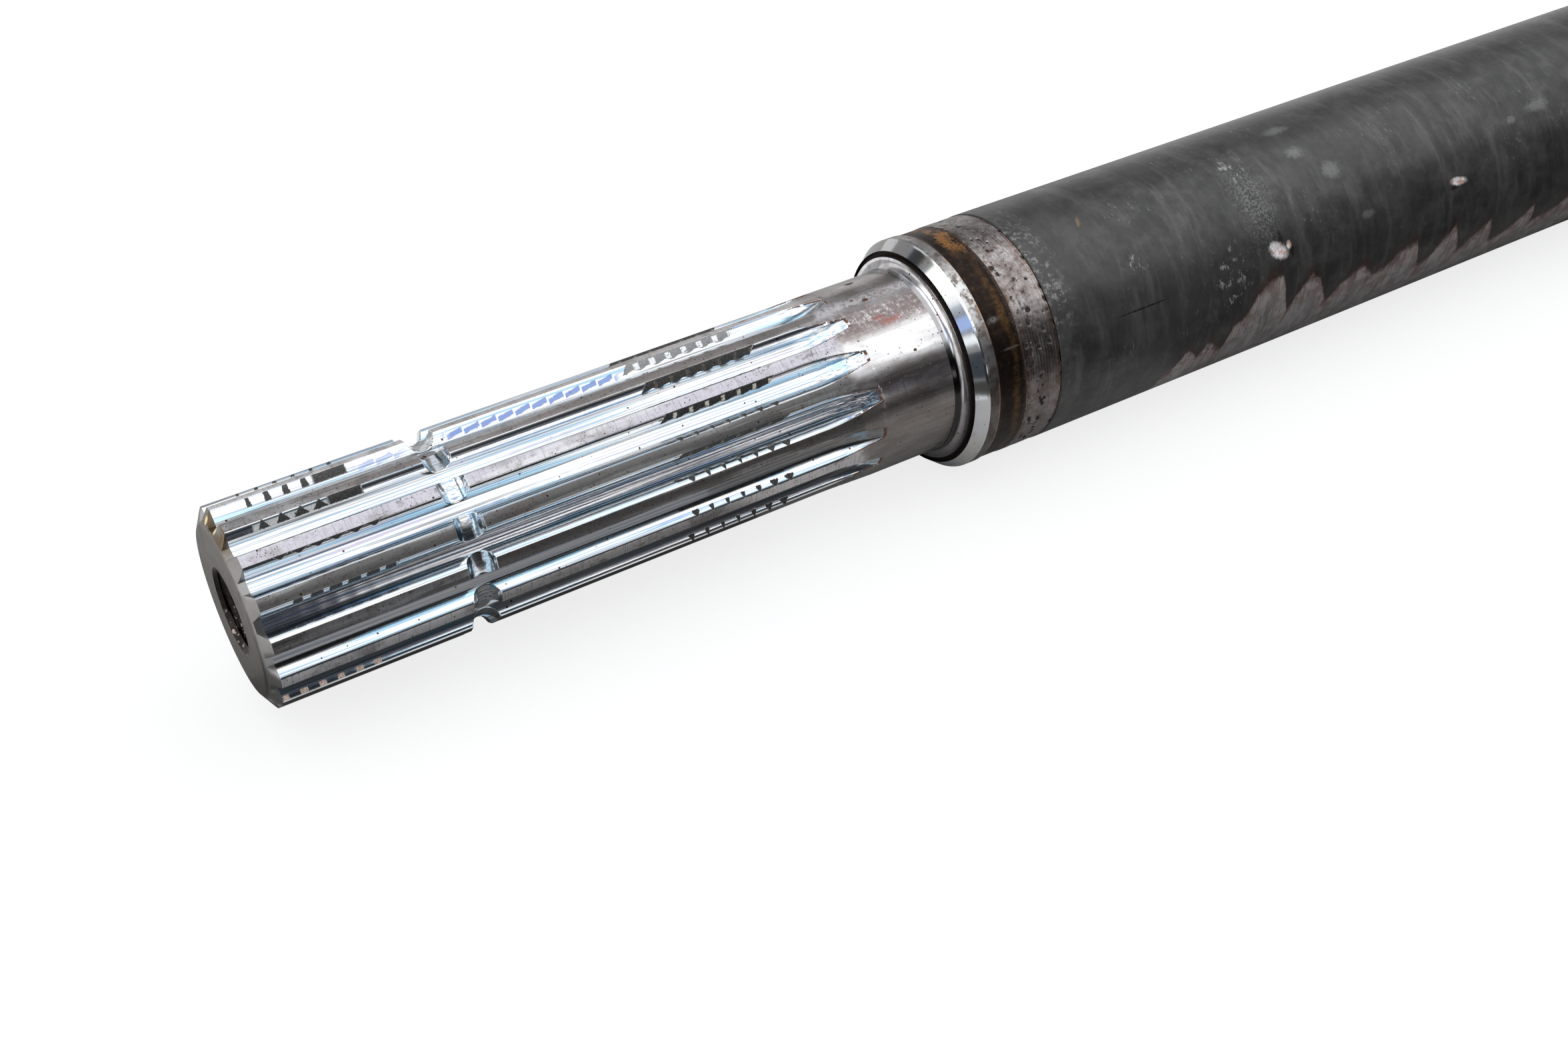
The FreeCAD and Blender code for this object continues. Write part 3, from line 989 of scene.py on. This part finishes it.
def scale_colours(p):
    """Mill scale: gray-black clouds, faint bands, groups of pale rubbed specks."""
    broad = p.noise(0.03, 3, 0.6)
    mottle = p.noise(0.16, 4, 0.65)
    bands = p.turned(0.2, 0, 0.035, detail=4, rough=0.65)
    streaks = p.turned(0.7, 0, 0.1)
    colour = mottle.ramp(
        (0.34, (0.0245, 0.0228, 0.0216)), (0.5, (0.04, 0.038, 0.0362)), (0.66, (0.064, 0.061, 0.058))
    )
    groups = (p.noise(0.07, 3, 0.6) + (bands - 0.5) * 0.4).step(0.53, 0.64)
    flecks = p.turned(1.6, 0, 0.5, rough=0.65)
    specks = flecks.step(0.6, 0.72) * groups.scale(0.04, 0.7)
    scuffs = p.s.step(223, 214) * p.noise(0.55, 4, 0.75).step(0.5, 0.66)
    scuffs = scuffs * p.phi.window(84, 146, 14).scale(0.15, 1)
    colour = colour.coated(
        (broad.step(0.42, 0.62) * 0.5, (0.053, 0.05, 0.048)),
        (bands.step(0.52, 0.68) * 0.45, (0.104, 0.1, 0.095)),
        (bands.step(0.46, 0.34) * 0.4, (0.018, 0.018, 0.018)),
        (streaks.step(0.55, 0.72) * 0.2, (0.11, 0.108, 0.104)),
    )
    return (p.larger(specks, scuffs) * 0.6).mix(colour, (0.34, 0.335, 0.32))


def tube_marks(p, colour, fine):
    """Single marks on the tube: rubbed places, glints, a black scratch and an orange fleck."""
    rubbed = p.patches(
        (309, 90, 3.6, 1.4, 0.7, 1),
        (307.5, 108, 2.4, 1.6, 0.7, 1),
        (314.7, 123.6, 2.6, 2.4, 0.5, 0.7),
        (394.3, 129, 3.4, 1.6, 0.6, 0.9),
        (383, 131.6, 1.6, 1, 0.6, 0.9),
        (321.8, 151.3, 2, 1, 0.6, 0.9),
    )
    rubbed = p.larger(rubbed, p.patch(286, 126, 5, 11, 0.8, 1) * fine.step(0.46, 0.58))
    places = p.patches((271, 158, 6, 9, 0.5, 0.7), (286, 105, 4, 6, 0.6, 0.8), (242, 134, 3, 3, 0.6, 0.8))
    clumps = (p.noise(0.35, 2) - 0.5) * 0.9
    glints = places * (p.turned(1.5, 0, 0.6, rough=0.7) + clumps).step(0.6, 0.72)
    line = p.patch(240.6, 155.2, 8.5, 0.22, 0.3, 0.25)
    line = line * p.noise(0.8, 3, 0.7).step(0.4, 0.48)
    fleck = p.patch(233.3, 104, 0.6, 1.5, 0.4, 0.7, lean=0.5)
    colour = colour.coated(
        (rubbed * fine.scale(0.1, 0.7), (0.24, 0.238, 0.23)),
        (glints * 0.6, (0.4, 0.39, 0.37)),
        (line, (0.006, 0.006, 0.006)),
    )
    return (fleck * fine.scale(0.1, 0.8)).mix(colour, (0.24, 0.14, 0.065))


def tube_material():
    """Dark mill scale, scraped bare along the underside behind a saw-toothed rusty border."""
    p = Paint("mill_scale", start=SHAFT_LENGTH / 2, radius=TUBE_R)
    fine = p.noise(1.5, 4, 0.7)
    grit = p.noise(0.7, 4, 0.7)
    colour = tube_marks(p, scale_colours(p), fine)
    border = border_curve(p, p.s, SAWTOOTH, 150, 220)
    ragged = p.noise(0.6, 4, 0.7).scale(-3.5, 3.5)
    past = p.phi - border + ragged
    ends = p.s.window(251, 416, 1) * (p.phi + ragged * 2).step(224, 218)
    bare = past.step(-1.8, 2.2) * ends
    fringe = past.window(-5, 0.4, 2.5) * ends * grit.step(0.38, 0.56)
    nick = p.patches(
        (288.4, 152.6, 2.5, 2.5, 0.35, 0.35, -0.5),
        (292.2, 151.6, 0.8, 1.1, 0.4, 0.35),
        (357, 152, 2.6, 1.2, 0.35, 0.3, -0.8),
    )
    around_nick = p.patches(
        (289.8, 147.3, 0.7, 2, 0.3, 0.6), (293, 155, 0.6, 1.6, 0.3, 0.6), (355.2, 154.4, 1.3, 0.7, 0.3, 0.6)
    )
    patchy = p.noise(0.25, 4, 0.65).step(0.38, 0.62)
    pink = patchy.mix((0.47, 0.4, 0.385), (0.3, 0.235, 0.22))
    gray = patchy.mix((0.42, 0.4, 0.39), (0.28, 0.26, 0.25))
    bare_colour = (past + ragged * 2).step(6, 16).mix(pink, gray)
    strokes = p.turned(1.1, 0, 0.07, rough=0.65)
    rusty = past.step(7, 1) * p.noise(0.25, 3, 0.65).step(0.44, 0.58)
    metallic = p.larger(bare, nick * 0.3).scale(0.25, 0.45)
    roughness = p.larger(bare, nick).blend(grit.scale(0.3, 0.46), 0.5)
    height = grit * 0.03 + fine * 0.014 - bare * 0.05
    bare_colour = bare_colour.coated(
        (fine.step(0.6, 0.72) * 0.7, (0.1, 0.07, 0.06)),
        (strokes.step(0.46, 0.64) * 0.55, (0.15, 0.115, 0.105)),
        (rusty * p.s.step(282, 262).scale(0.35, 0.85), (0.13, 0.062, 0.035)),
    )
    colour = colour.coated(
        (fringe * 0.75, (0.06, 0.03, 0.021)),
        (around_nick * 0.85, (0.016, 0.009, 0.007)),
        (bare, bare_colour),
        (nick, p.noise(0.45, 3, 0.6).step(0.48, 0.58).mix((0.86, 0.83, 0.82), (0.6, 0.38, 0.33))),
    )
    p.fill(p.shader, {"Specular IOR Level": p.noise(0.2, 4, 0.65).scale(0.25, 0.6)})
    return p.finish(colour, metallic, roughness, height)


# Pieces


def place_at_end(piece, end):
    """Moves a piece from stub coordinates to its end of the shaft."""
    half = SHAFT_LENGTH / 2 * MM
    if end == "near":
        piece.location = (-half, 0, 0)
    else:
        piece.rotation_euler = (0, 0, math.pi)
        piece.location = (half, 0, 0)


def dress(piece, materials, nodes=()):
    for material in materials:
        piece.data.materials.append(material)
    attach(piece, "root")
    if nodes:
        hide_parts(*nodes)


def build_pieces():
    stub_materials = [
        end_material(), teeth_material(), journal_material(), fillet_material(),
        recess_material(), rim_material(), land_material(), band_material(),
    ]
    weld, thread = weld_material(), thread_material()
    for end, seed in (("near", 7), ("far", 19)):
        skin = stub_skin(end + "_stub_skin")
        liner = thread_liner(end + "_tapped_hole")
        bead = weld_bead(end + "_weld_bead", seed)
        for piece in (skin, liner, bead):
            place_at_end(piece, end)
        dress(skin, stub_materials, [end + "_splined_stub"])
        dress(liner, [thread])
        dress(bead, [weld], [end + "_weld"])
    dress(tube_skin("tube_skin"), [tube_material()], ["centre_tube"])


# Studio


CAMERA_AT = (-0.46258, -0.33995, 0.30227)
CAMERA_FORWARD = (0.399553, 0.646132, -0.650286)
LENS = 44.65
SENSOR_WIDTH = 36.0
CLIP = (0.01, 50.0)
FLOOR_Z = -TUBE_R * MM
FLOOR_REACH = 30.0
FLOOR_GLOW = 0.80
FLOOR_GRAY = 0.20
WALL_HEIGHT = 6.0
WORLD_COLOUR = (0.97, 0.98, 1.0, 1.0)
WORLD_LIGHT = 0.34
CARD_LIFT = 0.0003
CARD_ROUGHNESS = 0.9


def floor_material():
    """Pale paint that also glows for the camera, reflections and transparency."""
    n = Nodes("floor_paint")
    seen = n.node("ShaderNodeLightPath").outputs
    total = n.math("MAXIMUM", seen["Is Camera Ray"], seen["Is Glossy Ray"])
    total = n.math("MAXIMUM", total, seen["Is Transmission Ray"])
    paint = n.node("ShaderNodeBsdfDiffuse", {"Color": (FLOOR_GRAY,) * 3})
    glow = n.node("ShaderNodeEmission", {"Color": (1.0, 1.0, 1.0), "Strength": total * FLOOR_GLOW})
    return n.show(n.node("ShaderNodeAddShader", {0: paint.outputs[0], 1: glow.outputs[0]}))


def stage_object(name, points, faces, material):
    """Mesh object of the studio, not part of the shaft."""
    mesh = bpy.data.meshes.new(name)
    mesh.from_pydata(points, [], faces)
    mesh.materials.append(material)
    made = new_object(name, mesh)
    return made


def make_floor():
    """Plain pale floor that keeps a soft shadow, with a low wall far round it."""
    corners = [(-1, -1), (1, -1), (1, 1), (-1, 1)]
    points = [(x * FLOOR_REACH, y * FLOOR_REACH, z) for z in (FLOOR_Z, WALL_HEIGHT) for x, y in corners]
    walls = [(k, k + 4, (k + 1) % 4 + 4, (k + 1) % 4) for k in range(4)]
    stage_object("floor", points, [(0, 1, 2, 3)] + walls, floor_material())


def make_world():
    world = bpy.data.worlds.new("studio")
    bpy.context.scene.world = world
    world.use_nodes = True
    background = world.node_tree.nodes["Background"]
    background.inputs["Color"].default_value = WORLD_COLOUR
    background.inputs["Strength"].default_value = WORLD_LIGHT


def aim(thing, forward):
    """Turns a light or camera to look along a direction."""
    thing.rotation_mode = "QUATERNION"
    thing.rotation_quaternion = Vector(forward).to_track_quat("-Z", "Y")


def softbox(name, centre, target, size, radiance, colour):
    """Rectangular light of a given brightness that faces a target."""
    data = bpy.data.lights.new(name, "AREA")
    data.shape = "RECTANGLE"
    data.size, data.size_y = size
    data.energy = radiance * math.pi * size[0] * size[1]
    data.color = colour
    light = new_object(name, data)
    light.location = centre
    aim(light, Vector(target) - Vector(centre))
    light.visible_camera = False


def card(name, low, high, colour):
    """Flat card between two edges that only reflections see, to shade the metal."""
    n = Nodes(name)
    paint = n.node("ShaderNodeBsdfPrincipled", {"Base Color": colour, "Roughness": CARD_ROUGHNESS})
    made = stage_object(name, low + high, [(0, 1, 2, 3)], n.show(paint))
    made.visible_camera = made.visible_diffuse = made.visible_shadow = False


# Each softbox: place, target, size, radiance and colour, in metres.
SOFTBOXES = {
    "top_box": ((0.2, -0.26, 1.2), (0.2, -0.26, 0), (2.9, 2.02), 1.25, (1, 0.985, 0.965)),
    "halo_box": ((0.2, -0.26, 1.22), (0.2, -0.26, 0), (3.2, 2.25), 0.28, (0.54, 0.77, 1)),
    "front_box": ((-1.15, -0.8, 0.6), (-0.3, 0, 0.05), (0.5, 0.16), 1.35, (0.9, 0.97, 1)),
    "blue_box": ((-1.15, -0.72, 0.9), (-0.3, 0, 0.05), (0.5, 0.26), 0.95, (0.26, 0.46, 1)),
    "side_box": ((-1.3, 0.25, 0.42), (-0.215, 0, 0.03), (0.86, 0.76), 1.5, (1, 0.99, 0.98)),
    "back_box": ((-0.01, 1.14, 1.12), (-0.25, 0, 0.03), (1.2, 0.56), 0.58, (0.8, 0.89, 1)),
    "strip_box": ((-0.198, -0.338, 0.048), (-0.198, 0, 0.048), (0.228, 0.04), 2, (0.96, 0.97, 1)),
}
ON_FLOOR, UPRIGHT = (FLOOR_Z + CARD_LIFT,) * 2, (-0.34,) * 2
BY_SPLINES, BY_SHOULDER, BY_TUBE, BY_ALL = (-0.44, -0.265), (-0.265, -0.13), (-0.13, 0.9), (-0.44, 0.9)
# Each card: its reach along the shaft, across it and upwards, and its colour.
CARDS = {
    "bed_card": (BY_SPLINES, (-0.055, 0.01), ON_FLOOR, (0.17, 0.165, 0.16)),
    "glint_card": (BY_SPLINES, (-0.12, -0.055), ON_FLOOR, (0.9, 0.92, 0.95)),
    "edge_card": (BY_SPLINES, (-0.34, -0.12), ON_FLOOR, (0.03, 0.03, 0.03)),
    "end_card": ((-0.44, -0.395), (0.01, 0.115), ON_FLOOR, (0.38, 0.36, 0.34)),
    "fore_card": (BY_SHOULDER, (-0.15, 0.01), ON_FLOOR, (0.5, 0.49, 0.48)),
    "under_card": (BY_TUBE, (-0.06, 0.01), ON_FLOOR, (0.17, 0.165, 0.16)),
    "far_edge_card": (BY_TUBE, (-0.34, -0.06), ON_FLOOR, (0.02, 0.02, 0.02)),
    "shoulder_card": (BY_SHOULDER, (-0.34, -0.15), ON_FLOOR, (0.03, 0.03, 0.03)),
    "back_card": ((-0.44, 0), (0.115, 1.2), ON_FLOOR, (0.42, 0.41, 0.4)),
    "low_card": (BY_ALL, UPRIGHT, (FLOOR_Z, 0.076), (0.03, 0.03, 0.032)),
    "mist_card": (BY_ALL, UPRIGHT, (0.076, 0.105), (0.16, 0.17, 0.24)),
    "high_card": (BY_ALL, UPRIGHT, (0.105, 0.26), (0.06, 0.06, 0.062)),
    "side_card": ((-0.62, -0.44), UPRIGHT, (FLOOR_Z, 0.15), (0.09, 0.11, 0.15)),
}
RIM_CARD = [(-0.98, 0.97, 0.76), (-0.6, 1.22, 0.76)], [(-0.6, 1.22, 1.12), (-0.98, 0.97, 1.12)]


def make_lights():
    for name, settings in SOFTBOXES.items():
        softbox(name, *settings)
    for name, ((x0, x1), (y0, y1), (z0, z1), colour) in CARDS.items():
        card(name, [(x0, y0, z0), (x1, y0, z0)], [(x1, y1, z1), (x0, y1, z1)], colour)
    card("rim_card", *RIM_CARD, (0.08, 0.08, 0.09))


def make_camera():
    data = bpy.data.cameras.new("camera")
    data.lens, data.sensor_width = LENS, SENSOR_WIDTH
    data.clip_start, data.clip_end = CLIP
    camera = new_object("camera", data)
    camera.location = CAMERA_AT
    aim(camera, CAMERA_FORWARD)
    bpy.context.scene.camera = camera


build_pieces()
make_floor()
make_world()
make_lights()
make_camera()
bpy.context.scene.view_settings.view_transform = "Standard"
